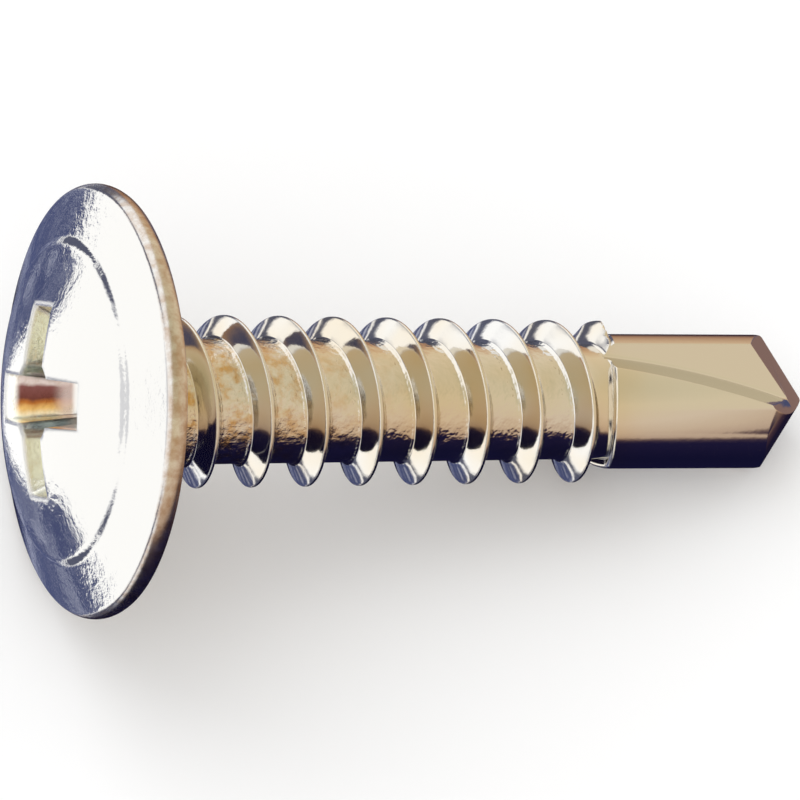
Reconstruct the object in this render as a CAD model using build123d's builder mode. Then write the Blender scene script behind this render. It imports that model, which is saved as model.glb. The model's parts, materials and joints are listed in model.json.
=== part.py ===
from build123d import *
import os
from math import asin, atan, atan2, cos, degrees, hypot, radians, sin, tan

# Self-drilling screw, ST4.2 x 19: one forged and rolled piece of steel.
# All sizes are in millimetres. The screw is drawn standing on +Z, from the head to the point,
# with the seat under its head at zero. At the end it is laid down as it comes to rest.

# Flanged head with a low dome
head_diameter = 10.15
rim_thickness = 0.50
rim_bulge = 0.09
dome_foot_diameter = 7.65
dome_foot_height = 0.98
dome_step_width = 0.125
dome_step_height = 0.11
dome_height = 1.85
valley_round = 0.15

# Cross recess, number 2
recess_span = 4.45
recess_width = 1.08
recess_mouth_height = 1.57
recess_depth = 2.10
recess_floor_depth = 0.30
recess_core_diameter = 2.05
recess_floor_diameter = 1.56
wing_end_slope = 26.5
wing_side_slope = 5.75
recess_turn = 3.5

# Shank and rolled thread
screw_length = 18.33
core_diameter = 3.00
neck_fillet = 0.65
thread_pitch = 1.40
thread_diameter = 4.12
thread_diameter_at_end = 3.88
thread_start = 0.25
thread_overrun = 0.14
thread_fade_start = 0.65
thread_fade_length = 0.70
crest_flat = 0.07
flank_angle = 28.0
foot_height = 0.06
foot_width = 0.08

# Forged drill point
drill_diameter = 3.24
drill_start = 13.06
drill_start_slope = 0.33
web_thickness = 1.40
flute_start = 12.58
flute_floor_tilt = 6.0
flute_wall_draft = 18.0
flute_root_round = 0.12
flute_root_at_start = 1.16
flute_root_at_middle = 0.70
flute_root_at_tip = -0.12
point_angle = 110.0
point_corner_round = 0.35
lip_offset = 0.10
lip_bevel_angle = 47.5
lip_relief_angle = 14.0
lip_relief_end_angle = 60.0
lip_relief_radius = 2.60

# What is sunk into a neighbour, so that fused faces pass through each other
sink = 0.15
overlap = 0.03

head_radius = head_diameter / 2
rim_edge_radius = head_radius - rim_bulge
rim_arc_radius = (rim_thickness**2 / 4 + rim_bulge**2) / (2 * rim_bulge)
core_radius = core_diameter / 2
drill_radius = drill_diameter / 2
thread_end = drill_start + thread_overrun
thread_length = thread_end - thread_start
taper_slope = (thread_diameter - thread_diameter_at_end) / 2 / thread_length
dome_edge_radius = dome_foot_diameter / 2 - dome_step_width
dome_edge_height = dome_foot_height + dome_step_height
reach = head_diameter + screw_length
relief_lean = radians(lip_relief_angle)
relief_lean_at_tip = asin(sin(relief_lean) + lip_offset / lip_relief_radius)
lip_apex = screw_length + lip_relief_radius * (cos(relief_lean) - cos(relief_lean_at_tip))
edge_slope = 1 / tan(radians(point_angle / 2))


# Head and core: one turned outline, with a free-formed rim and a core that tapers like the thread
with BuildPart() as shank:
    with BuildSketch(Plane.XZ):
        with BuildLine():
            dome = TangentArc(
                (0, -dome_height),
                (dome_edge_radius, -dome_edge_height),
                tangent=(1, 0),
            )
            rim = ThreePointArc(
                (rim_edge_radius, -rim_thickness),
                (head_radius, -rim_thickness / 2),
                (rim_edge_radius, 0),
            )
            FilletPolyline(
                dome @ 1,
                (dome_foot_diameter / 2, -dome_foot_height),
                rim @ 0,
                radius=valley_round,
            )
            under_head = FilletPolyline(
                rim @ 1,
                (core_radius, 0),
                (core_radius - thread_end * taper_slope, thread_end),
                radius=neck_fillet,
            )
            Polyline(under_head @ 1, (0, thread_end), dome @ 0)
        make_face()
    revolve(axis=Axis.Z)


# Where the point dies close on the shank: all that lies past a start sloping back to both sides
def forged_zone(start: float) -> Part:
    side_start = start - reach * drill_start_slope
    with BuildPart() as zone:
        with BuildSketch(Plane.YZ):
            with BuildLine():
                Polyline(
                    (0, start),
                    (reach, side_start),
                    (reach, reach),
                    (-reach, reach),
                    (-reach, side_start),
                    close=True,
                )
            make_face()
        extrude(amount=reach, both=True)
    return zone.part


# Thread ridge: flanks with splayed feet, swept along a slightly conical helix
ridge_height = (thread_diameter - core_diameter) / 2 + thread_start * taper_slope
foot_inner = crest_flat / 2 + (ridge_height - foot_height) * tan(radians(flank_angle))
foot_outer = foot_inner + foot_width * (1 + sink / foot_height)

with BuildPart() as thread:
    with BuildLine() as thread_path:
        Helix(
            pitch=thread_pitch,
            height=thread_length,
            radius=core_radius - thread_start * taper_slope,
            center=(0, 0, thread_start),
            cone_angle=-degrees(atan(taper_slope)),
        )
    ridge_plane = Plane(
        origin=thread_path.line @ 0,
        x_dir=(1, 0, 0),
        z_dir=thread_path.line % 0,
    )
    with BuildSketch(ridge_plane):
        with BuildLine():
            Polyline(
                (-sink, foot_outer),
                (foot_height, foot_inner),
                (ridge_height, crest_flat / 2),
                (ridge_height, -crest_flat / 2),
                (foot_height, -foot_inner),
                (-sink, -foot_outer),
                close=True,
            )
        make_face()
    sweep(path=thread_path.line, is_frenet=True)
    # run-in under the head
    fade_rise = thread_diameter / 2 - core_radius + sink
    fade_end = thread_fade_start + thread_fade_length
    with BuildSketch(Plane.XZ):
        with BuildLine():
            Polyline(
                (core_radius - sink - overlap, -reach),
                (core_radius - sink - overlap, thread_fade_start),
                (core_radius - sink + fade_rise, fade_end),
                (core_radius - sink + 2 * fade_rise, fade_end + thread_fade_length),
                (core_radius - sink + 2 * fade_rise, -reach),
                close=True,
            )
        make_face()
    revolve(axis=Axis.Z, mode=Mode.SUBTRACT)

# Drill body: a rod with a rounded corner before the cone of the point
cone_apex = lip_apex + overlap
with BuildPart() as point_body:
    add(forged_zone(drill_start))
    with BuildSketch(Plane.XZ):
        with BuildLine():
            body_side = FilletPolyline(
                (drill_radius, 0),
                (drill_radius, cone_apex - drill_radius * edge_slope),
                (0, cone_apex),
                radius=point_corner_round,
            )
            Polyline(body_side @ 1, (0, 0), body_side @ 0)
        make_face()
    revolve(axis=Axis.Z, mode=Mode.INTERSECT)

# Cross recess: four tapered wings round a tapered core
def recess_wing(depth: float) -> Sketch:
    half_span = recess_span / 2 - depth * tan(radians(wing_end_slope))
    half_width = recess_width / 2 - depth * tan(radians(wing_side_slope))
    with BuildSketch(Plane.XY.offset(depth - recess_mouth_height)) as wing:
        Rectangle(2 * half_span, 2 * half_width)
    return wing.sketch


recess_overshoot = dome_height - recess_mouth_height + sink
with BuildPart() as recess:
    loft([recess_wing(-recess_overshoot), recess_wing(recess_depth)])
    add(recess.part.rotate(Axis.Z, 90))
    floor_level = recess_depth - recess_mouth_height
    with BuildSketch(Plane.XZ):
        with BuildLine():
            Polyline(
                (0, -recess_mouth_height - recess_overshoot),
                (recess_core_diameter / 2, -recess_mouth_height - recess_overshoot),
                (recess_floor_diameter / 2, floor_level),
                (0, floor_level + recess_floor_depth),
                close=True,
            )
        make_face()
    revolve(axis=Axis.Z)


# Flute: a flat floor beside the web and a wall whose foot sinks towards the tip
flute_middle = (flute_start + screw_length) / 2
flute_floor = Plane(
    origin=(0, 0, 0),
    x_dir=(0, 0, 1),
    z_dir=(-sin(radians(flute_floor_tilt)), cos(radians(flute_floor_tilt)), 0),
).offset(web_thickness / 2)


def flute_outline(rise: float) -> Sketch:
    drop = rise * tan(radians(flute_wall_draft))
    with BuildSketch(flute_floor.offset(rise)) as outline_sketch:
        with BuildLine():
            foot = ThreePointArc(
                (flute_start, flute_root_at_start - drop),
                (flute_middle, flute_root_at_middle - drop),
                (screw_length, flute_root_at_tip - drop),
            )
            Polyline(foot @ 1, (reach, 0), (reach, reach), (flute_start, reach), foot @ 0)
        make_face()
    return outline_sketch.sketch


with BuildPart() as flute:
    loft([flute_outline(0), flute_outline(drill_diameter)], ruled=True)
    wall_foot = flute.edges().filter_by(GeomType.CIRCLE).sort_by_distance((0, 0, flute_middle))[0]
    fillet(wall_foot, radius=flute_root_round)


# Point: each lip has a bevel in front of it and a face that curves away behind it
with BuildPart() as lip_cut:
    with BuildSketch(Plane.YZ):
        with BuildLine():
            relief = JernArc(
                start=(lip_offset, lip_apex),
                tangent=(-cos(relief_lean), -sin(relief_lean)),
                radius=lip_relief_radius,
                arc_size=lip_relief_end_angle - lip_relief_angle,
            )
            relief_end = relief @ 1 + relief % 1 * reach
            Polyline(
                relief @ 1,
                relief_end,
                (relief_end.X, 2 * reach),
                (reach, 2 * reach),
                (reach, lip_apex - (reach - lip_offset) * tan(radians(lip_bevel_angle))),
                relief @ 0,
            )
        make_face()
    extrude(amount=drill_diameter, dir=(1, 0, -edge_slope), both=True)

with BuildPart() as blank:
    add(shank.part)
    add(thread.part)
    add(forged_zone(drill_start), mode=Mode.SUBTRACT)
    add(point_body.part)
    with Locations(Rotation(0, 0, recess_turn)):
        add(recess.part, mode=Mode.SUBTRACT)
    with PolarLocations(0, 2):
        add(flute.part, mode=Mode.SUBTRACT)
    with PolarLocations(0, 2):
        add(lip_cut.part, mode=Mode.SUBTRACT)


# The screw lies on three points: its rim and the ends of the lands on both sides of the hidden flute.
# The ground touches the rim's arc on the tangent from the lands.
hidden_side = 180 + degrees(asin(web_thickness / drill_diameter))
land_ends = (
    blank.vertices()
    .filter_by(lambda corner: corner.Z > flute_middle)
    .filter_by(lambda corner: hypot(corner.X, corner.Y) > drill_radius - overlap)
    .sort_by(lambda corner: (degrees(atan2(corner.Y, corner.X)) - hidden_side) % 360)[:2]
)
land_end, other_land_end = (Vector(corner.X, corner.Y, corner.Z) for corner in land_ends)
between_lands = (land_end + other_land_end) / 2
down_angle = atan2(between_lands.Y, between_lands.X)
arc_rise = head_radius - rim_arc_radius - hypot(between_lands.X, between_lands.Y)
arc_run = between_lands.Z + rim_thickness / 2
lean = atan2(arc_rise, arc_run) + asin(rim_arc_radius / hypot(arc_rise, arc_run))
rim_reach = head_radius - rim_arc_radius + rim_arc_radius * cos(lean)
rim_point = Vector(
    rim_reach * cos(down_angle),
    rim_reach * sin(down_angle),
    rim_arc_radius * sin(lean) - rim_thickness / 2,
)
up = (land_end - rim_point).cross(other_land_end - rim_point).normalized()
if up.dot(between_lands) > 0:
    up = -up
screw_axis = Vector(0, 0, 1)
ground = Plane(origin=rim_point, x_dir=screw_axis - up * screw_axis.dot(up), z_dir=up)
lying = ground.to_local_coords(blank.part)
lying_box = lying.bounding_box()

with BuildPart() as screw:
    with Locations((-lying_box.center().X, -lying_box.center().Y, -lying_box.min.Z)):
        add(lying)

os.makedirs("parts", exist_ok=True)
screw.part.label = "screw"
export_step(screw.part, "parts/screw.step")
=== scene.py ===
"""Self-drilling screw: the finished surface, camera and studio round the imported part."""

from __future__ import annotations

import json
import logging
import math
import time
from dataclasses import dataclass, field
from enum import Enum
from functools import partial
from typing import Any, Callable, ClassVar

import bmesh
import bpy
from mathutils import Matrix, Vector

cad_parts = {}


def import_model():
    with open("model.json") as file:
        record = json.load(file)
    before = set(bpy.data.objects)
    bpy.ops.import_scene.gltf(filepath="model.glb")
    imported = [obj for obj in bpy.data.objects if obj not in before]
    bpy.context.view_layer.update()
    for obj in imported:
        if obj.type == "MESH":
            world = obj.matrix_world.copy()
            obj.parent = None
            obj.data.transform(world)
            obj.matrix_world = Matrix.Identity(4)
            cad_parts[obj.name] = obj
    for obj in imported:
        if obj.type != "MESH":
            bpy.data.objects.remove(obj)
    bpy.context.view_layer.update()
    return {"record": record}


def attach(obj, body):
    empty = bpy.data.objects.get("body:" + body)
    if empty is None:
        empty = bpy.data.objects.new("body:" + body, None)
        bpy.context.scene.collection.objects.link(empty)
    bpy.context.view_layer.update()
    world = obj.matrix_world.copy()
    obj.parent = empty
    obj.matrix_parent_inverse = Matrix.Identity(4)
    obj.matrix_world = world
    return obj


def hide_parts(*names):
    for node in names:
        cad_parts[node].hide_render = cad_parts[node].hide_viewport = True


MM = 0.001
MERGE = 1e-5
NEAR = 1e-4
ORIGIN = Vector((0, 0, 0))
Z_AXIS = Vector((0, 0, 1))

log = logging.getLogger("screw")

Point = tuple[float, float]
Mesh = bmesh.types.BMesh
Socket = bpy.types.NodeSocket
Adder = Callable[..., bpy.types.NodeOutputs]


class Join(Enum):
    """How one closed shape changes another."""

    UNION = "UNION"
    DIFFERENCE = "DIFFERENCE"


class Node(Enum):
    """The shader nodes in use: what Blender calls each after ShaderNode, and its settings."""

    COORDINATES = ("TexCoord", {})
    MAPPING = ("Mapping", {})
    APART = ("SeparateXYZ", {})
    STRETCH = ("VectorMath", {"operation": "MULTIPLY"})
    LENGTH = ("VectorMath", {"operation": "LENGTH"})
    DISTANCE = ("VectorMath", {"operation": "DISTANCE"})
    ALONG = ("VectorMath", {"operation": "DOT_PRODUCT"})
    TIMES = ("Math", {"operation": "MULTIPLY"})
    TIMES_PLUS = ("Math", {"operation": "MULTIPLY_ADD"})
    PLUS = ("Math", {"operation": "ADD"})
    MINUS = ("Math", {"operation": "SUBTRACT"})
    WITHOUT_SIGN = ("Math", {"operation": "ABSOLUTE"})
    LARGER = ("Math", {"operation": "MAXIMUM"})
    RISE = ("MapRange", {"interpolation_type": "SMOOTHSTEP"})
    NOISE = ("TexNoise", {})
    BLEND = ("Mix", {"data_type": "RGBA"})
    RAMP = ("ValToRGB", {})
    SOFT_EDGE = ("Bevel", {"samples": 6})
    BUMP = ("Bump", {})
    PRINCIPLED = ("BsdfPrincipled", {})
    SURFACE = ("OutputMaterial", {})
    LIGHT_PATH = ("LightPath", {})
    GLOW = ("Background", {})
    EITHER = ("MixShader", {})
    WORLD = ("OutputWorld", {})


def linear(hex_colour: str) -> tuple[float, float, float, float]:
    """Turn an sRGB hex colour into the linear colour that shaders take.

    Args:
        hex_colour: Six hex digits, with or without a leading hash.

    Returns:
        Red, green, blue and an alpha of one.
    """
    digits = hex_colour.lstrip("#")
    channels = [int(digits[i : i + 2], 16) / 255 for i in (0, 2, 4)]
    red, green, blue = (c / 12.92 if c <= 0.04045 else ((c + 0.055) / 1.055) ** 2.4 for c in channels)
    return red, green, blue, 1.0


def add_node(
    tree: bpy.types.NodeTree,
    kind: Node,
    *inputs: Any,
    named: dict[str | int, Any] | None = None,
    stops: dict[float, str] | None = None,
) -> bpy.types.NodeOutputs:
    """Add a node with its settings and links.

    Args:
        tree: The node tree that gets the node.
        kind: The node's type and settings.
        inputs: What its inputs get in order: a value, a hex colour or an output to link.
        named: The same, by name or number.
        stops: Places and hex colours of a colour ramp.

    Returns:
        The new node's outputs.
    """
    blender_name, settings = kind.value
    node = tree.nodes.new(f"ShaderNode{blender_name}")
    for setting, value in settings.items():
        setattr(node, setting, value)
    for name, value in (dict(enumerate(inputs)) | (named or {})).items():
        if isinstance(value, Socket):
            tree.links.new(value, node.inputs[name])
        else:
            node.inputs[name].default_value = linear(value) if isinstance(value, str) else value
    for number, (place, colour) in enumerate((stops or {}).items()):
        ramp = node.color_ramp.elements
        element = ramp[number] if number < len(ramp) else ramp.new(place)
        element.position = place
        element.color = linear(colour)
    return node.outputs


def add_marks(
    add: Adder,
    marks: dict[str, Socket],
    rises: dict[str, tuple[Any, ...]],
    products: dict[str, tuple[str, ...]],
) -> None:
    """Add marks that set in softly, and marks that lie where several others meet.

    Args:
        add: Adds a node.
        marks: The marks by name; it gets the new ones.
        rises: What each measures, where it is nought and where full, and both strengths if not 0 and 1.
        products: The marks that meet in each of the others.
    """
    for name, measured in rises.items():
        marks[name] = add(Node.RISE, *measured)[0]
    for name, (first, *others) in products.items():
        marks[name] = marks[first]
        for other in others:
            marks[name] = add(Node.TIMES, marks[name], marks[other])[0]


def arc(start: Point, end: Point, bulge: float, steps: int) -> list[Point]:
    """Points on an arc between two points.

    Args:
        start: Where the arc begins.
        end: Where it ends.
        bulge: How far it stands out to the left of the way from start to end; negative to the right.
        steps: How many pieces it has.

    Returns:
        All points, with both ends.
    """
    chord = Vector(end) - Vector(start)
    half = chord.length / 2
    radius = (half**2 + bulge**2) / (2 * bulge)
    left = Vector((-chord.y, chord.x)).normalized()
    centre = (Vector(start) + Vector(end)) / 2 + left * (bulge - radius)
    sweep = -2 * math.asin(half / radius)
    spoke = Vector(start) - centre
    turns = (Matrix.Rotation(sweep * i / steps, 2) for i in range(steps + 1))
    return [tuple(centre + turn @ spoke) for turn in turns]


def bulge_through(start: Point, middle: Point, end: Point) -> float:
    """How far the arc through three points stands out from the chord between its ends.

    Args:
        start: Where the arc begins.
        middle: A point that it passes through.
        end: Where it ends.

    Returns:
        The distance, to the left of the way from start to end; negative to the right.
    """
    chord = Vector(end) - Vector(start)
    spoke = Vector(middle) - Vector(start)
    corner = (Vector(start) - Vector(middle)).angle(Vector(end) - Vector(middle))
    depth = chord.length / 2 * math.tan((math.pi - corner) / 2)
    return math.copysign(depth, chord.x * spoke.y - chord.y * spoke.x)


def rounded(corners: list[Point], radii: list[float], steps: int) -> list[Point]:
    """Points of an open outline whose inner corners are rounded.

    Args:
        corners: The outline's corners, with both ends.
        radii: One radius for each inner corner, zero for a sharp one.
        steps: How many pieces each rounding has.

    Returns:
        The points in order.
    """
    points = [corners[0]]
    for before, corner, after, radius in zip(corners, corners[1:], corners[2:], radii):
        come = (Vector(corner) - Vector(before)).normalized()
        leave = (Vector(after) - Vector(corner)).normalized()
        turn = come.angle_signed(leave)
        if not radius:
            points.append(corner)
            continue
        reach = radius * abs(math.tan(turn / 2))
        depth = radius * (1 - math.cos(turn / 2))
        start = tuple(Vector(corner) - come * reach)
        end = tuple(Vector(corner) + leave * reach)
        points += arc(start, end, math.copysign(depth, turn), steps)
    return points + [corners[-1]]


def chain(mesh: Mesh, points: list[Vector], closed: bool = False) -> list[Any]:
    """Join points by edges.

    Args:
        mesh: The mesh that gets them.
        points: The points in order.
        closed: Whether the last is joined to the first.

    Returns:
        The new vertices and edges.
    """
    verts = [mesh.verts.new(point) for point in points]
    pairs = list(zip(verts, verts[1:] + verts[:1]))
    edges = [mesh.edges.new(pair) for pair in (pairs if closed else pairs[:-1])]
    return verts + edges


def turned(profile: list[Point], steps: int) -> Mesh:
    """Turn an outline round the Z axis.

    Args:
        profile: Radius and height of each point.
        steps: Steps round the axis.

    Returns:
        The turned skin, closed at its poles.
    """
    mesh = bmesh.new()
    outline = chain(mesh, [Vector((radius, 0, height)) for radius, height in profile])
    bmesh.ops.spin(
        mesh, geom=outline, cent=ORIGIN, axis=Z_AXIS, angle=2 * math.pi, steps=steps, use_merge=True
    )
    bmesh.ops.remove_doubles(mesh, verts=mesh.verts, dist=MERGE)
    bmesh.ops.recalc_face_normals(mesh, faces=mesh.faces)
    return mesh


def prism(outline: list[Vector], way: Vector) -> Mesh:
    """Push a flat outline along a straight way.

    Args:
        outline: The corners of the flat face.
        way: How far and which way it is pushed.

    Returns:
        The closed prism.
    """
    mesh = bmesh.new()
    chain(mesh, outline, closed=True)
    face = bmesh.ops.contextual_create(mesh, geom=mesh.edges[:])["faces"]
    pushed = bmesh.ops.extrude_face_region(mesh, geom=face, use_keep_orig=True)["geom"]
    bmesh.ops.translate(mesh, verts=[v for v in pushed if isinstance(v, bmesh.types.BMVert)], vec=way)
    bmesh.ops.recalc_face_normals(mesh, faces=mesh.faces)
    return mesh


def cut_off(mesh: Mesh, place: Vector, normal: Vector, cap: bool = True) -> None:
    """Cut away what lies past a plane.

    Args:
        mesh: The mesh to cut.
        place: A point of the plane.
        normal: The side that is cut away.
        cap: Whether the cut is closed by a face.
    """
    whole = mesh.verts[:] + mesh.edges[:] + mesh.faces[:]
    cut = bmesh.ops.bisect_plane(
        mesh, geom=whole, dist=MERGE, plane_co=place, plane_no=normal, clear_outer=True
    )
    if cap:
        rim = [edge for edge in cut["geom_cut"] if isinstance(edge, bmesh.types.BMEdge)]
        bmesh.ops.edgeloop_fill(mesh, edges=rim)


def as_object(mesh: Mesh, name: str) -> bpy.types.Object:
    """Make an object of a mesh and free the mesh.

    Args:
        mesh: The mesh, used up here.
        name: The name of the object and its data.

    Returns:
        The new object, linked to the scene.
    """
    data = bpy.data.meshes.new(name)
    mesh.to_mesh(data)
    mesh.free()
    thing = bpy.data.objects.new(name, data)
    bpy.context.scene.collection.objects.link(thing)
    return thing


@dataclass(frozen=True)
class ScrewAxes:
    """The screw's own axes in the row frame: its seat, and where its top and point look."""

    seat: Vector
    top: Vector
    side: Vector
    point: Vector

    @classmethod
    def from_record(cls, record: dict[str, Any], seat_angle: float = math.radians(60)) -> ScrewAxes:
        """Read the axes from the mounts.

        Args:
            record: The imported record.
            seat_angle: Where the seat mount's point lies round the axis, from the top to the side.

        Returns:
            The screw's axes.
        """
        mounts = {mount["name"]: mount for mount in record["mounts"]}
        seat = Vector(mounts["screw_thread"]["pos_m"])
        point = Vector(mounts["screw_thread"]["axis"]).normalized()
        spoke = Vector(mounts["head_seat"]["pos_m"]) - seat
        spoke = (spoke - point * spoke.dot(point)).normalized()
        top = Matrix.Rotation(-seat_angle, 3, point) @ spoke
        return cls(seat=seat, top=top, side=point.cross(top), point=point)

    def placement(self) -> Matrix:
        """Matrix that takes the standing screw, in millimetres, to where it lies, in metres."""
        turn = Matrix((self.top, self.side, self.point)).transposed().to_4x4()
        return Matrix.Translation(self.seat) @ turn @ Matrix.Scale(MM, 4)

    def direction(self, top: float, side: float, point: float) -> Vector:
        """Direction in the row frame of a direction given along the screw's own axes."""
        return self.top * top + self.side * side + self.point * point


@dataclass(frozen=True)
class Head:
    """Flanged head with a low dome, turned in one piece with the neck; sizes in millimetres."""

    radius: float = 5.075
    rim_thickness: float = 0.50
    rim_bulge: float = 0.09
    dome_foot_radius: float = 3.825
    dome_foot_height: float = 0.98
    dome_step_width: float = 0.125
    dome_step_height: float = 0.11
    dome_height: float = 1.85
    dome_round: float = 0.45
    valley_round: float = 0.30
    face_round: float = 0.15
    edge_round: float = 0.04
    neck_fillet: float = 0.65
    dome_steps: int = 28
    rim_steps: int = 10
    round_steps: int = 5
    steps: int = 192

    @property
    def dome_reach(self) -> float:
        """Radius at which the dome meets the step round its foot."""
        return self.dome_foot_radius - self.dome_step_width

    @property
    def ball_radius(self) -> float:
        """Radius of the ball that the dome is a cap of."""
        rise = self.dome_height - self.dome_foot_height - self.dome_step_height
        return (self.dome_reach**2 + rise**2) / (2 * rise)

    def dome(self) -> list[Point]:
        """Outline of the dome, from its pole to its edge.

        Returns:
            Radius and height of each point.
        """
        ball = self.ball_radius
        swing = math.asin(self.dome_reach / ball)
        angles = [swing * i / self.dome_steps for i in range(self.dome_steps + 1)]
        return [(ball * math.sin(a), ball * (1 - math.cos(a)) - self.dome_height) for a in angles]

    def build(self, neck_radius: float) -> Mesh:
        """Turn the head and the neck under it, open at the neck's end.

        Args:
            neck_radius: Radius of the core where the neck's fillet ends.

        Returns:
            The open skin.
        """
        dome = self.dome()
        edge = self.radius - self.rim_bulge
        rim = arc((edge, -self.rim_thickness), (edge, 0), -self.rim_bulge, self.rim_steps)
        corners = [*dome[-2:], (self.dome_foot_radius, -self.dome_foot_height), *rim[:2]]
        radii = [self.dome_round, self.valley_round, self.face_round]
        top = rounded(corners, radii, self.round_steps)
        corners = [*rim[-2:], (neck_radius, 0), (neck_radius, 2 * self.neck_fillet)]
        under = rounded(corners, [self.edge_round, self.neck_fillet], self.rim_steps)
        return turned(dome[:-1] + top[1:-1] + rim[2:-2] + under[1:-1], self.steps)


@dataclass(frozen=True)
class Thread:
    """Right-hand tapping thread rolled on a slightly tapered core; sizes in millimetres."""

    core_radius: float = 1.50
    pitch: float = 1.40
    start: float = 0.25
    crest_height: float = 0.56
    crest_flat: float = 0.07
    crest_round: float = 0.035
    flank_angle: float = math.radians(28)
    foot_round: float = 0.12
    taper: float = 0.12 / 12.95
    fade_start: float = 0.65
    fade_length: float = 0.70
    fade_sink: float = 0.15
    neck_end: float = 0.75
    end_round: float = 0.40
    end_sink: float = 0.04
    flank_pieces: int = 4
    round_steps: int = 5
    turns: int = 11
    steps: int = 96

    def ridge(self) -> list[Point]:
        """Outline of one pitch, from root to root over the crest.

        Returns:
            Radius and height of each point.
        """
        middle = self.pitch / 2
        top = self.core_radius + self.crest_height
        half_crest = self.crest_flat / 2
        half_foot = half_crest + self.crest_height * math.tan(self.flank_angle)
        corners = [
            (self.core_radius, 0),
            (self.core_radius, middle - half_foot),
            (top, middle - half_crest),
            (top, middle + half_crest),
            (self.core_radius, middle + half_foot),
            (self.core_radius, self.pitch),
        ]
        radii = [self.foot_round, self.crest_round, self.crest_round, self.foot_round]
        outline = rounded(corners, radii, self.round_steps)
        return self.split(outline, self.crest_height / self.flank_pieces)

    @staticmethod
    def split(outline: list[Point], longest: float) -> list[Point]:
        """Split the long stretches of an outline.

        Args:
            outline: The points in order.
            longest: The length that no piece is to pass.

        Returns:
            All points, with those given.
        """
        points = [outline[0]]
        for start, end in zip(outline, outline[1:]):
            pieces = math.ceil((Vector(end) - Vector(start)).length / longest)
            points += [tuple(Vector(start).lerp(Vector(end), i / pieces)) for i in range(1, pieces + 1)]
        return points

    def fade(self, height: float) -> float:
        """Largest radius that the run-in under the head leaves at a height."""
        rise = (self.crest_height + self.fade_sink) / self.fade_length
        return self.core_radius - self.fade_sink + (height - self.fade_start) * rise

    def end(self, drill: DrillPoint, run: float) -> float:
        """Largest radius that the ridge's rounded end leaves.

        Args:
            drill: The drill point that the ridge ends at.
            run: How far before the drill point's start it is.

        Returns:
            The radius.
        """
        part = min(max(run / self.end_round, 0), 1)
        low = drill.radius - self.end_sink
        return low + (self.core_radius + self.crest_height - low) * math.sqrt(part * (2 - part))

    def build(self, drill: DrillPoint) -> Mesh:
        """Wind the ridge round the core, open at the neck's end.

        Args:
            drill: The drill point that the ridge ends at.

        Returns:
            The open skin, from the neck's end to past the drill point's start.
        """
        mesh = bmesh.new()
        # the first crest stands half a pitch over this, a whole turn before the thread's start
        first = self.start - 1.5 * self.pitch
        outline = chain(mesh, [Vector((radius, 0, height + first)) for radius, height in self.ridge()])
        step = Z_AXIS * (self.pitch / self.steps)
        bmesh.ops.spin(
            mesh, geom=outline, cent=ORIGIN, axis=Z_AXIS, dvec=step, angle=2 * math.pi, steps=self.steps
        )
        turn = mesh.verts[:] + mesh.edges[:] + mesh.faces[:]
        for number in range(1, self.turns):
            copy = bmesh.ops.duplicate(mesh, geom=turn)["geom"]
            verts = [v for v in copy if isinstance(v, bmesh.types.BMVert)]
            bmesh.ops.translate(mesh, verts=verts, vec=Z_AXIS * (self.pitch * number))
        bmesh.ops.remove_doubles(mesh, verts=mesh.verts, dist=MERGE)
        for vert in mesh.verts:
            height = vert.co.z
            radius = vert.co.xy.length
            core = self.core_radius - height * self.taper
            run = drill.start - drill.start_slope * abs(vert.co.y) - height
            ridge = min(radius - height * self.taper, self.end(drill, run))
            vert.co.xy *= min(ridge, max(core, self.fade(height))) / radius
        cut_off(mesh, Z_AXIS * self.neck_end, -Z_AXIS, cap=False)
        return mesh


@dataclass(frozen=True)
class CrossRecess:
    """Number 2 cross recess: four tapered wings round a tapered core; sizes in millimetres."""

    mouth_height: float = 1.57
    depth: float = 2.10
    floor_depth: float = 0.30
    half_span: float = 2.225
    half_width: float = 0.54
    end_slope: float = math.radians(26.5)
    side_slope: float = math.radians(5.75)
    core_radius: float = 1.025
    floor_radius: float = 0.78
    overshoot: float = 0.43
    turn: float = math.radians(3.5)
    steps: int = 96

    def wing_corners(self, depth: float) -> list[Vector]:
        """Corners of a pair of wings.

        Args:
            depth: How far under the mouth they are.

        Returns:
            The four corners in order.
        """
        x = self.half_span - depth * math.tan(self.end_slope)
        y = self.half_width - depth * math.tan(self.side_slope)
        height = depth - self.mouth_height
        return [Vector((sx * x, sy * y, height)) for sx, sy in ((-1, -1), (1, -1), (1, 1), (-1, 1))]

    def build(self) -> list[Mesh]:
        """Shape what the punch presses out.

        Returns:
            Two pairs of wings and the core.
        """
        cutters = []
        for quarter in (0, 1):
            wings = bmesh.new()
            for depth in (-self.overshoot, self.depth):
                chain(wings, self.wing_corners(depth), closed=True)
            loops = wings.edges[:]
            bmesh.ops.bridge_loops(wings, edges=loops)
            bmesh.ops.edgeloop_fill(wings, edges=loops)
            turn = Matrix.Rotation(self.turn + quarter * math.pi / 2, 4, "Z")
            bmesh.ops.transform(wings, matrix=turn, verts=wings.verts)
            bmesh.ops.recalc_face_normals(wings, faces=wings.faces)
            cutters.append(wings)
        floor = self.depth - self.mouth_height
        mouth = -self.mouth_height - self.overshoot
        core = [(0, mouth), (self.core_radius, mouth), (self.floor_radius, floor)]
        cutters.append(turned(core + [(0, floor + self.floor_depth)], self.steps))
        return cutters


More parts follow.
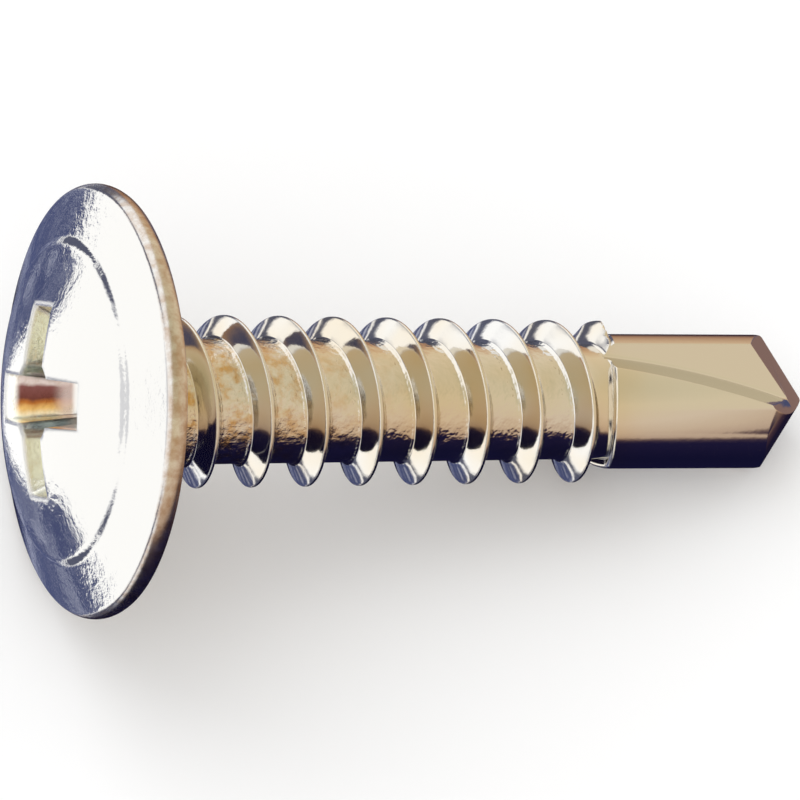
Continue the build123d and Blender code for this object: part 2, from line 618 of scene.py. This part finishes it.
@dataclass(frozen=True)
class DrillPoint:
    """Forged drill point with two flutes and two lips; sizes in millimetres."""

    radius: float = 1.62
    start: float = 13.06
    start_slope: float = 0.33
    start_round: float = 0.12
    length: float = 18.33
    blank_over: float = 0.03
    half_web: float = 0.70
    flute_start: float = 12.58
    floor_tilt: float = math.radians(6)
    wall_draft: float = math.radians(18)
    root_round: float = 0.12
    root_at_start: float = 1.16
    root_at_middle: float = 0.70
    root_at_tip: float = -0.12
    point_angle: float = math.radians(110)
    corner_round: float = 0.35
    lip_offset: float = 0.10
    lip_bevel: float = math.radians(47.5)
    relief_lean: float = math.radians(14)
    relief_end: float = math.radians(60)
    relief_radius: float = 2.60
    reach: float = 30.0
    foot_steps: int = 24
    relief_steps: int = 32
    corner_steps: int = 8
    start_steps: int = 4
    root_steps: int = 6
    steps: int = 128

    @property
    def edge_slope(self) -> float:
        """Fall of the lips for each millimetre outwards."""
        return 1 / math.tan(self.point_angle / 2)

    @property
    def apex(self) -> float:
        """Height at which the relief starts, just over the tip."""
        at_tip = math.asin(math.sin(self.relief_lean) + self.lip_offset / self.relief_radius)
        return self.length + self.relief_radius * (math.cos(self.relief_lean) - math.cos(at_tip))

    def body(self) -> Mesh:
        """Shape the rod: a start that slopes back to both sides, and a rounded corner before the cone.

        Returns:
            The closed rod.
        """
        cone_apex = self.apex + self.blank_over
        low = self.start - self.radius
        high = cone_apex - self.radius * self.edge_slope
        corners = [(0, low), (self.radius, low), (self.radius, high), (0, cone_apex)]
        mesh = turned(rounded(corners, [0, self.corner_round], self.corner_steps), self.steps)
        cut_off(mesh, Z_AXIS * self.start, Vector((0, -self.start_slope, -1)))
        bmesh.ops.symmetrize(mesh, input=mesh.verts[:] + mesh.edges[:] + mesh.faces[:], direction="Y")
        places = ((vert, vert.co.z + self.start_slope * abs(vert.co.y)) for vert in mesh.verts)
        foot = {vert for vert, height in places if abs(height - self.start) < NEAR}
        edges = (edge for edge in mesh.edges if foot.issuperset(edge.verts))
        # the one long edge is the ridge between the two slopes, and stays sharp
        rim = [edge for edge in edges if edge.calc_length() < self.radius]
        width, steps = self.start_round, self.start_steps
        bmesh.ops.bevel(
            mesh, geom=rim, offset=width, affect="EDGES", segments=steps, profile=0.5, material=-1
        )
        bmesh.ops.recalc_face_normals(mesh, faces=mesh.faces)
        return mesh

    def flute(self) -> Mesh:
        """Shape what one flute leaves out: a flat floor and a leaning wall with a round foot.

        Returns:
            The closed cutter.
        """
        start = (self.flute_start, self.root_at_start)
        middle = ((self.flute_start + self.length) / 2, self.root_at_middle)
        end = (self.length, self.root_at_tip)
        out = Vector((-math.sin(self.floor_tilt), math.cos(self.floor_tilt), 0))
        across = Vector((math.cos(self.floor_tilt), math.sin(self.floor_tilt), 0))
        foot = arc(start, end, bulge_through(start, middle, end), self.foot_steps)
        outline = foot + [(self.reach, 0), (self.reach, self.reach), (self.flute_start, self.reach)]
        floor = [out * self.half_web + Z_AXIS * x + across * y for x, y in outline]
        rise = 2 * self.radius
        mesh = prism(floor, out * rise - across * (rise * math.tan(self.wall_draft)))
        mesh.verts.ensure_lookup_table()
        edges = [mesh.edges.get(mesh.verts[i : i + 2]) for i in range(self.foot_steps)]
        reach = self.root_round * math.tan(math.pi / 4 - self.wall_draft / 2)
        bmesh.ops.bevel(
            mesh,
            geom=edges,
            offset=reach,
            affect="EDGES",
            segments=self.root_steps,
            profile=0.5,
            material=-1,
        )
        return mesh

    def lip(self) -> Mesh:
        """Shape what is taken off at one lip: a bevel before it and a face that curves away behind it.

        Returns:
            The closed cutter.
        """
        lean = self.relief_lean
        start = Vector((self.lip_offset, self.apex))
        centre = start + Vector((math.sin(lean), -math.cos(lean))) * self.relief_radius
        sweep = self.relief_end - lean
        turns = [sweep * i / self.relief_steps for i in range(self.relief_steps + 1)]
        curve = [centre + Matrix.Rotation(turn, 2) @ (start - centre) for turn in turns]
        far = curve[-1] - Vector((math.cos(self.relief_end), math.sin(self.relief_end))) * self.reach
        bevel_end = self.apex - (self.reach - self.lip_offset) * math.tan(self.lip_bevel)
        above = [Vector((far.x, self.reach)), Vector((self.reach, self.reach))]
        corners = [far, *above, Vector((self.reach, bevel_end))]
        way = Vector((1, 0, -self.edge_slope)) * (2 * self.radius)
        return prism([Vector((0, *corner)) - way for corner in curve + corners], 2 * way)

    def cutters(self) -> list[Mesh]:
        """Shape both flutes and both lips.

        Returns:
            The closed cutters.
        """
        shapes = []
        for half in (0, 1):
            turn = Matrix.Rotation(half * math.pi, 4, "Z")
            for shape in (self.flute(), self.lip()):
                bmesh.ops.transform(shape, matrix=turn, verts=shape.verts)
                bmesh.ops.recalc_face_normals(shape, faces=shape.faces)
                shapes.append(shape)
        return shapes


@dataclass
class Screw:
    """The whole screw in one piece, laid where it comes to rest."""

    axes: ScrewAxes
    head: Head = field(default_factory=Head)
    recess: CrossRecess = field(default_factory=CrossRecess)
    thread: Thread = field(default_factory=Thread)
    point: DrillPoint = field(default_factory=DrillPoint)
    overlap: float = 0.05
    sharp_angle: float = math.radians(32)

    def blank(self) -> Mesh:
        """Join head, neck and threaded shank, cut just inside the forged drill point.

        Returns:
            The closed skin.
        """
        mesh = self.thread.build(self.point)
        neck_radius = self.thread.core_radius - self.thread.taper * self.head.neck_fillet
        head = self.head.build(neck_radius)
        data = bpy.data.meshes.new("head")
        head.to_mesh(data)
        head.free()
        mesh.from_mesh(data)
        bpy.data.meshes.remove(data)
        halfway = self.point.start / 2
        open_ends = [edge for edge in mesh.edges if edge.is_boundary and edge.verts[0].co.z < halfway]
        bmesh.ops.bridge_loops(mesh, edges=open_ends)
        for side in (-1, 1):
            normal = Vector((0, side * self.point.start_slope, 1))
            cut_off(mesh, Z_AXIS * (self.point.start + self.overlap), normal)
        bmesh.ops.recalc_face_normals(mesh, faces=mesh.faces)
        return mesh

    @staticmethod
    def combine(thing: bpy.types.Object, shapes: list[Mesh], join: Join) -> None:
        """Join shapes to an object, or cut them out of it, and keep the result as its mesh.

        Args:
            thing: The object that is changed.
            shapes: Closed meshes, used up here.
            join: Whether they are joined or cut out.
        """
        tools = [as_object(shape, f"{join.name}_{number}") for number, shape in enumerate(shapes)]
        for tool in tools:
            modifier = thing.modifiers.new(tool.name, "BOOLEAN")
            modifier.solver = "MANIFOLD"
            modifier.operation = join.value
            modifier.object = tool
        depsgraph = bpy.context.evaluated_depsgraph_get()
        result = bpy.data.meshes.new_from_object(thing.evaluated_get(depsgraph), depsgraph=depsgraph)
        thing.modifiers.clear()
        old, thing.data = thing.data, result
        bpy.data.meshes.remove(old)
        for tool in tools:
            bpy.data.meshes.remove(tool.data)

    def build(self) -> bpy.types.Object:
        """Build the screw.

        Returns:
            The screw's object at the origin, with its place in its mesh.
        """
        screw = as_object(self.blank(), "screw_finished")
        self.combine(screw, [self.point.body()], Join.UNION)
        self.combine(screw, self.point.cutters() + self.recess.build(), Join.DIFFERENCE)
        mesh = bmesh.new()
        mesh.from_mesh(screw.data)
        bmesh.ops.remove_doubles(mesh, verts=mesh.verts, dist=MERGE)
        bmesh.ops.dissolve_degenerate(mesh, edges=mesh.edges, dist=MERGE)
        bmesh.ops.transform(mesh, matrix=self.axes.placement(), verts=mesh.verts)
        bmesh.ops.recalc_face_normals(mesh, faces=mesh.faces)
        mesh.to_mesh(screw.data)
        open_edges = sum(not edge.is_manifold for edge in mesh.edges)
        log.info("screw: %d faces, %d open edges", len(mesh.faces), open_edges)
        mesh.free()
        screw.data.materials.clear()
        screw.data.shade_smooth()
        screw.data.set_sharp_from_angle(angle=self.sharp_angle)
        return screw

    def dress(self, screw: bpy.types.Object) -> None:
        """Give the screw its plated finish."""
        screw.data.materials.append(BrightZinc(self.axes, self.head, self.thread).material())


@dataclass(frozen=True)
class Grain:
    """One noise pattern: the size of its blotches, and the number and strength of its finer layers."""

    size: float
    detail: float = 3.0
    roughness: float = 0.5

    @property
    def inputs(self) -> dict[str, float]:
        """What a noise node gets for it; a blotch is about half a cell wide."""
        return {"Scale": 0.5 / self.size, "Detail": self.detail, "Roughness": self.roughness}


@dataclass(frozen=True)
class BrightZinc:
    """Bright zinc electroplate on cold-forged steel, with a thin yellow passivation film."""

    # To the eye it is a silver mirror: it shows the room in hard shapes, warm where the film lies,
    # golden where the film pooled in the rough roots near the head, and brown in the recess: partly a
    # stain, partly painted shade.

    axes: ScrewAxes
    head: Head
    thread: Thread
    name: str = "zinc_plated_steel"
    zinc: str = "#DCDBD8"
    film: str = "#D9C6A0"
    pooled_film: str = "#C79A48"
    # brownish tint in spots round the rim's edge: painted reflection
    rim_reflection_tint: str = "#B59C86"
    # the recess's walls are painted a whiter zinc: painted highlight
    recess_highlight: str = "#F0EFE6"
    deep_recess: str = "#D6C3BA"
    # bright plating has a roughness of about 0.05 to 0.15; film, the recess's stain and painted shade,
    # and the rim are duller
    roughness: float = 0.08
    gloss_spread: float = 0.10
    film_dullness: float = 0.18
    rim_dullness: float = 0.16
    # how round sharp edges and the recess's mouth look, in millimetres
    edge_round: float = 0.05
    mouth_round: float = 0.18
    # relief of one step in millimetres, and how many steps each grain is high
    relief: float = 0.004
    peel: float = 0.6
    peel_on_face: float = 2.2
    lumps: float = 15.0
    crust: float = 12.0
    rolled: float = 0.25
    # rolling leaves lines round the screw some hundredths apart, drawn 0.06 apart so that they show
    rolling: Grain = Grain(0.9)
    rolling_stretch: tuple[float, float, float] = (1, 1, 14)
    # where the recess's stain and painted shade sit across it, and how much their edge wavers
    stain_shade_middle: float = 0.35
    stain_shade_wave: float = 0.30

    # colours across the recess, from its lower to its upper wall: partly a stain of the plating bath,
    # partly painted shade and painted reflection
    STAIN_AND_SHADE: ClassVar[dict[float, str]] = {
        0.10: "#B7C4C2",
        0.18: "#E6DCBC",
        0.34: "#D9AE68",
        0.48: "#A8662F",
        0.58: "#6A3C34",
        0.84: "#7C4E4A",
        0.94: "#CDBDB6",
    }
    # sizes in millimetres
    GRAINS: ClassVar[dict[str, Grain]] = {
        # film pools in spots of one to two tenths, and lies thicker from place to place
        "pools": Grain(0.16, 4, 0.6),
        "patches": Grain(1.1, 2),
        "stain_shade_edge": Grain(0.25),
        "gloss": Grain(0.12),
        # the orange peel of bright plating is about 0.05 wide, drawn coarser so that it shows
        "peel": Grain(0.13, 3, 0.6),
        # the rolling dies leave lumps in the roots of the thread, and the plating a crust near the head
        "lumps": Grain(0.28, 3, 0.6),
        "crust": Grain(0.09, 4, 0.6),
    }

    def material(self) -> bpy.types.Material:
        """Build the material.

        Returns:
            The procedural material.
        """
        material = bpy.data.materials.new(self.name)
        material.use_nodes = True
        material.node_tree.nodes.clear()
        add = partial(add_node, material.node_tree)
        where, marks = self.marks(add)
        finish = {
            "Base Color": self.colour(add, marks),
            "Metallic": 1.0,
            "Roughness": self.gloss(add, marks),
            "Normal": self.normal(add, where, marks),
        }
        shader = add(Node.PRINCIPLED, named=finish)["BSDF"]
        add(Node.SURFACE, shader)
        return material

    def marks(self, add: Adder) -> tuple[Socket, dict[str, Socket]]:
        """Find where each mark lies and how strong it is.

        Args:
            add: Adds a node.

        Returns:
            The place in the standing screw's frame, in millimetres, and the marks by name.
        """
        # the standing screw has its seat at nought, its head below and its point above
        back = self.axes.placement().inverted()
        laid = add(Node.COORDINATES)["Object"]
        where = add(Node.MAPPING, laid, back.to_translation(), back.to_euler(), back.to_scale())[0]
        across, _, height = add(Node.APART, where)
        flat = add(Node.STRETCH, where, (1, 1, 0))[0]
        radius = add(Node.LENGTH, flat)["Value"]
        untapered = add(Node.TIMES_PLUS, height, self.thread.taper, radius)[0]
        ball_centre = Vector((0, 0, self.head.ball_radius - self.head.dome_height))
        from_centre = add(Node.DISTANCE, where, ball_centre)["Value"]
        depth = add(Node.MINUS, self.head.ball_radius, from_centre)[0]
        off_wings = add(Node.WITHOUT_SIGN, across)[0]
        marks = {}
        for name, grain in self.GRAINS.items():
            marks[name] = add(Node.NOISE, named={"Vector": where} | grain.inputs)[0]
        core = self.thread.core_radius
        rim = self.head.radius
        rises = {
            "in_root": (untapered, core + 0.08, core + 0.01),
            "past_neck": (height, 0.9, 1.5),
            "before_drill": (height, 12.6, 11.5),
            "near_head": (height, 8.5, 1.5),
            "in_pools": (marks["pools"], 0.38, 0.72, 0, 0.9),
            "over_head": (height, -0.05, -0.20),
            "in_punch": (radius, 1.3, 1.2),
            "punch_floor": (height, 1.2, 1.0),
            "in_mouth": (radius, 2.5, 2.3),
            "past_dome": (depth, 0.04, 0.12),
            "past_lip": (depth, 0.18, 0.38),
            "stain_shade_wings": (off_wings, 0.72, 0.60),
            "deep": (depth, 1.05, 1.45, 0, 0.7),
            "rim": (radius, rim - 0.14, rim - 0.05),
            "rim_spots": (marks["pools"], 0.2, 0.8),
            "past_rim": (height, -0.3, 0.8),
            "before_point": (height, 14.5, 12.0),
            "in_patches": (marks["patches"], 0.30, 0.65, 0, 0.5),
            "face": (height, -0.35, -0.6),
            "round_mouth": (radius, 2.8, 2.6),
        }
        add_marks(add, marks, rises, {"punch": ("in_punch", "punch_floor")})
        marks["inside"] = add(Node.LARGER, marks["over_head"], marks["punch"])[0]
        products = {
            "root": ("in_root", "past_neck", "before_drill"),
            "near_root": ("root", "near_head"),
            "pooled": ("near_root", "in_pools"),
            "recess": ("in_mouth", "inside"),
            # painted highlight: the recess's walls past the dome's face
            "recess_highlight": ("recess", "past_dome"),
            # partly a stain, partly painted shade and painted reflection, in the wings across the
            # recess
            "stained_and_shaded": ("recess", "past_lip", "stain_shade_wings"),
            # painted reflection: brownish tint in spots round the rim
            "rim_reflection": ("rim", "rim_spots"),
            "filmed": ("past_rim", "before_point", "in_patches"),
            "lumpy": ("root", "lumps"),
            "crusty": ("near_root", "crust"),
            "mouth": ("face", "round_mouth"),
        }
        add_marks(add, marks, {}, products)
        marks["up_recess"] = add(Node.TIMES_PLUS, marks["stain_shade_edge"], self.stain_shade_wave, across)[0]
        return where, marks

    def colour(self, add: Adder, marks: dict[str, Socket]) -> Socket:
        """Lay film, wear and stain over the zinc.

        Args:
            add: Adds a node.
            marks: The marks by name.

        Returns:
            The colour.
        """
        up = add(Node.PLUS, marks["up_recess"], self.stain_shade_middle)[0]
        # the recess's colours: partly a stain, partly painted shade and painted reflection
        stain_shade_colour = add(Node.RAMP, up, stops=self.STAIN_AND_SHADE)["Color"]
        deep = {0: marks["deep"], 6: stain_shade_colour, 7: self.deep_recess}
        colour: Socket | str = self.zinc
        layers = {
            "filmed": self.film,
            "pooled": self.pooled_film,
            # painted reflection on the rim
            "rim_reflection": self.rim_reflection_tint,
            # painted highlight on the recess's walls
            "recess_highlight": self.recess_highlight,
            # partly a stain, partly painted shade and painted reflection in the recess
            "stained_and_shaded": add(Node.BLEND, named=deep)[2],
        }
        for mark, over in layers.items():
            colour = add(Node.BLEND, named={0: marks[mark], 6: colour, 7: over})[2]
        return colour

    def gloss(self, add: Adder, marks: dict[str, Socket]) -> Socket:
        """Dull the mirror where film pooled, over the recess's stain and painted shade, and on the rim.

        Args:
            add: Adds a node.
            marks: The marks by name.

        Returns:
            The roughness.
        """
        smoothest = self.roughness - self.gloss_spread / 2
        gloss = add(Node.TIMES_PLUS, marks["gloss"], self.gloss_spread, smoothest)[0]
        dull = add(Node.PLUS, marks["pooled"], marks["stained_and_shaded"])[0]
        gloss = add(Node.TIMES_PLUS, dull, self.film_dullness, gloss)[0]
        return add(Node.TIMES_PLUS, marks["rim"], self.rim_dullness, gloss)[0]

    def normal(self, add: Adder, where: Socket, marks: dict[str, Socket]) -> Socket:
        """Soften the edges and raise the grain: orange peel, rough roots and rolling lines.

        Args:
            add: Adds a node.
            where: The place in the standing screw's frame, in millimetres.
            marks: The marks by name.

        Returns:
            The surface's direction.
        """
        lines = add(Node.STRETCH, where, self.rolling_stretch)[0]
        rolled = add(Node.NOISE, named={"Vector": lines} | self.rolling.inputs)[0]
        peel = add(Node.TIMES_PLUS, marks["face"], self.peel_on_face, self.peel)[0]
        relief = add(Node.TIMES, marks["peel"], peel)[0]
        grains = ((marks["lumpy"], self.lumps), (marks["crusty"], self.crust), (rolled, self.rolled))
        for grain, high in grains:
            relief = add(Node.TIMES_PLUS, grain, high, relief)[0]
        more = (self.mouth_round - self.edge_round) * MM
        reach = add(Node.TIMES_PLUS, marks["mouth"], more, self.edge_round * MM)[0]
        soft = add(Node.SOFT_EDGE, reach)[0]
        bump = {"Strength": 1.0, "Distance": self.relief * MM, "Height": relief, "Normal": soft}
        return add(Node.BUMP, named=bump)[0]


@dataclass(frozen=True)
class Studio:
    """Pale table, soft white light, and the walls, screens and dark cloth that bright metal mirrors."""

    axes: ScrewAxes
    lamp_energy: float = 2.5
    lamp_size: float = 0.8
    lamp_place: tuple[float, float, float] = (-0.35, 0.45, 0.8)
    table_size: float = 2.0
    table_cells: int = 8
    table_colour: str = "#F6F6F6"
    table_roughness: float = 0.9
    table_specular: float = 0.1
    table_light: float = 0.97
    wall_strength: float = 1.38
    screen_strength: float = 1.36
    white: str = "#FFFFFF"
    brown_card: str = "#7C635C"
    blue_card: str = "#454A68"
    gap_blue: str = "#434A6E"
    gap_gleam: str = "#B4B8CA"
    screen_ends: str = "#54576A"
    # ways in which these stand, from the screw
    screen_way: tuple[float, float, float] = (-0.94, 0.342, 0)
    far_way: tuple[float, float, float] = (0.77, 0.64, 0)
    card_way: tuple[float, float, float] = (0.73, 0.46, -0.5)
    # the gaps' middle off the screw's side, and how much gaps and ends lean with the screw
    screen_middle: float = 0.015
    gap_lean: float = 0.33
    end_lean: float = 0.67
    gleams: Grain = Grain(0.035, 3, 0.7)

    # warm wall over a dark cloth, by height from straight down to straight up
    WALL: ClassVar[dict[float, str]] = {
        0.10: "#11102C",
        0.34: "#1B1734",
        0.375: "#33283A",
        0.405: "#6A5550",
        0.435: "#B39B86",
        0.52: "#C2AC94",
        0.65: "#CDBAA3",
        0.85: "#CFC0A2",
        1.00: "#B9B092",
    }
    # lighter floor and wall behind the table, darker close by
    FAR_WALL: ClassVar[dict[float, str]] = {
        0.12: "#1C1626",
        0.18: "#4A3438",
        0.27: "#A07C62",
        0.42: "#C4A686",
        0.60: "#D6C6AA",
        1.00: "#C2B696",
    }

    def build(self) -> None:
        """Build the table, the light and what the metal mirrors."""
        self.table()
        self.lamp()
        self.surround()

    def lamp(self) -> None:
        """Hang a large soft box over the table, for a soft shadow."""
        light = bpy.data.lights.new("soft_box", "AREA")
        light.shape = "SQUARE"
        light.size = self.lamp_size
        light.energy = self.lamp_energy
        lamp = bpy.data.objects.new("soft_box", light)
        bpy.context.scene.collection.objects.link(lamp)
        lamp.location = self.lamp_place
        lamp.rotation_euler = (-Vector(self.lamp_place)).to_track_quat("-Z", "Y").to_euler()
        lamp.visible_glossy = False

    def table(self) -> None:
        """Lay matt paper under the screw, which the camera sees and the metal doesn't mirror."""
        mesh = bmesh.new()
        cells = self.table_cells
        bmesh.ops.create_grid(mesh, x_segments=cells, y_segments=cells, size=self.table_size / 2)
        table = as_object(mesh, "table")
        # matt paper: it takes the soft shadow and has no shine of its own
        paper = bpy.data.materials.new("matt_paper")
        paper.use_nodes = True
        shader = paper.node_tree.nodes["Principled BSDF"]
        shader.inputs["Base Color"].default_value = linear(self.table_colour)
        shader.inputs["Roughness"].default_value = self.table_roughness
        shader.inputs["Specular IOR Level"].default_value = self.table_specular
        table.data.materials.append(paper)
        table.visible_glossy = False

    def surround(self) -> None:
        """Set what is round the table: even white light, and walls and screens that metal mirrors."""
        world = bpy.data.worlds.new("studio")
        bpy.context.scene.world = world
        world.use_nodes = True
        world.cycles.sampling_method = "NONE"
        world.node_tree.nodes.clear()
        add = partial(add_node, world.node_tree)
        way = add(Node.COORDINATES)["Generated"]
        marks = self.marks(add, way)
        colour = self.mirrored(add, marks)
        more = self.screen_strength - self.wall_strength
        glow = add(Node.TIMES_PLUS, marks["lit"], more, self.wall_strength)[0]
        mirrored = add(Node.GLOW, colour, glow)[0]
        plain = add(Node.GLOW, self.white, self.table_light)[0]
        glossy = add(Node.LIGHT_PATH)["Is Glossy Ray"]
        both = add(Node.EITHER, glossy, plain, mirrored)[0]
        add(Node.WORLD, both)

    def marks(self, add: Adder, way: Socket) -> dict[str, Socket]:
        """Find where each thing stands round the screw.

        Args:
            add: Adds a node.
            way: The direction in the room.

        Returns:
            How much of each thing is seen in that direction, by name.
        """
        ways = {
            "top": self.axes.top,
            "side": self.axes.side,
            "point": self.axes.point,
            "up": Z_AXIS,
            "screen": self.screen_way,
            "far": self.far_way,
            "card": self.card_way,
        }
        along = {name: add(Node.ALONG, way, axis)["Value"] for name, axis in ways.items()}
        off_middle = add(Node.PLUS, along["top"], self.screen_middle)[0]
        off_middle = add(Node.WITHOUT_SIGN, off_middle)[0]
        gap_line = add(Node.TIMES_PLUS, along["point"], self.gap_lean, off_middle)[0]
        end_line = add(Node.TIMES_PLUS, off_middle, self.end_lean, along["point"])[0]
        gleams = add(Node.NOISE, named={"Vector": way} | self.gleams.inputs)[0]
        # nought straight down, one straight up
        marks = {"height": add(Node.TIMES_PLUS, along["up"], 0.5, 0.5)[0]}
        rises = {
            "far_wall": (along["far"], 0.25, 0.75),
            "card": (along["card"], 0.90, 0.97),
            "blue_card": (along["top"], 0.31, 0.37),
            "screen": (along["screen"], 0.03, 0.12),
            "gap_in": (gap_line, 0.035, 0.065),
            "gap_out": (off_middle, 0.37, 0.345),
            "gap_low": (along["side"], -0.40, -0.50),
            "gap_near": (along["point"], -0.57, -0.50),
            "far_end_out": (off_middle, 0.50, 0.66),
            "far_end_back": (along["point"], -0.55, -0.62),
            "near_end_line": (end_line, -0.10, -0.04),
            "near_end_in": (off_middle, 0.37, 0.40),
            "near_end_out": (off_middle, 0.85, 0.75),
            "near_end_low": (along["side"], -0.20, -0.35),
            "not_behind": (along["point"], -0.955, -0.975, 1, 0.65),
            "gleams": (gleams, 0.48, 0.66, 0, 0.75),
        }
        products = {
            "gap": ("gap_in", "gap_out", "gap_low", "gap_near"),
            "far_end": ("far_end_out", "far_end_back"),
            "near_end": ("near_end_line", "near_end_in", "near_end_out", "near_end_low"),
        }
        add_marks(add, marks, rises, products)
        ends = add(Node.LARGER, marks["far_end"], marks["near_end"])[0]
        marks["ends"] = add(Node.TIMES, marks["screen"], ends)[0]
        lit = add(Node.TIMES, marks["screen"], marks["not_behind"])[0]
        for dark in (marks["gap"], ends):
            rest = add(Node.MINUS, 1.0, dark)[0]
            lit = add(Node.TIMES, lit, rest)[0]
        marks["lit"] = lit
        return marks

    def mirrored(self, add: Adder, marks: dict[str, Socket]) -> Socket:
        """Colour what the metal mirrors.

        Args:
            add: Adds a node.
            marks: How much of each thing is seen, by name.

        Returns:
            The colour.
        """
        card = {0: marks["blue_card"], 6: self.brown_card, 7: self.blue_card}
        gaps = {0: marks["gleams"], 6: self.gap_blue, 7: self.gap_gleam}
        layers = {
            "far_wall": add(Node.RAMP, marks["height"], stops=self.FAR_WALL)["Color"],
            "card": add(Node.BLEND, named=card)[2],
            "screen": add(Node.BLEND, named=gaps)[2],
            "ends": self.screen_ends,
            "lit": self.white,
        }
        colour = add(Node.RAMP, marks["height"], stops=self.WALL)["Color"]
        for mark, over in layers.items():
            colour = add(Node.BLEND, named={0: marks[mark], 6: colour, 7: over})[2]
        return colour


@dataclass
class Viewpoint:
    """The camera, placed by the screw's own axes: it looks at the screw's side from the head's half."""

    axes: ScrewAxes
    off_square: float = math.radians(25)
    distance: float = 170.05
    along: float = 6.911
    rise: float = 0.033
    lens: float = 328.5
    sensor: float = 36.0
    # reach in metres, nearest and farthest
    reach: tuple[float, float] = (0.01, 10.0)

    def build(self) -> None:
        """Place the camera and look through it."""
        data = bpy.data.cameras.new("viewpoint")
        data.lens = self.lens
        data.sensor_width = self.sensor
        data.clip_start, data.clip_end = self.reach
        camera = bpy.data.objects.new("viewpoint", data)
        sine, cosine = math.sin(self.off_square), math.cos(self.off_square)
        right = self.axes.direction(0, sine, cosine)
        forward = self.axes.direction(0, -cosine, sine)
        up = self.axes.top
        place = self.axes.seat + (right * self.along - forward * self.distance + up * self.rise) * MM
        turn = Matrix((right, up, -forward)).transposed().to_4x4()
        camera.matrix_world = Matrix.Translation(place) @ turn
        bpy.context.scene.collection.objects.link(camera)
        bpy.context.scene.camera = camera


def main() -> None:
    """Build the screw's looks, the camera and the studio."""
    logging.basicConfig(level=logging.INFO, format="%(message)s")
    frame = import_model()
    axes = ScrewAxes.from_record(frame["record"])
    Viewpoint(axes).build()
    started = time.time()
    parts = Screw(axes)
    screw = parts.build()
    parts.dress(screw)
    log.info("screw took %.1f s", time.time() - started)
    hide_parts("screw")
    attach(screw, "root")
    Studio(axes).build()
    bpy.context.scene.view_settings.view_transform = "Standard"


if __name__ == "__main__":
    main()
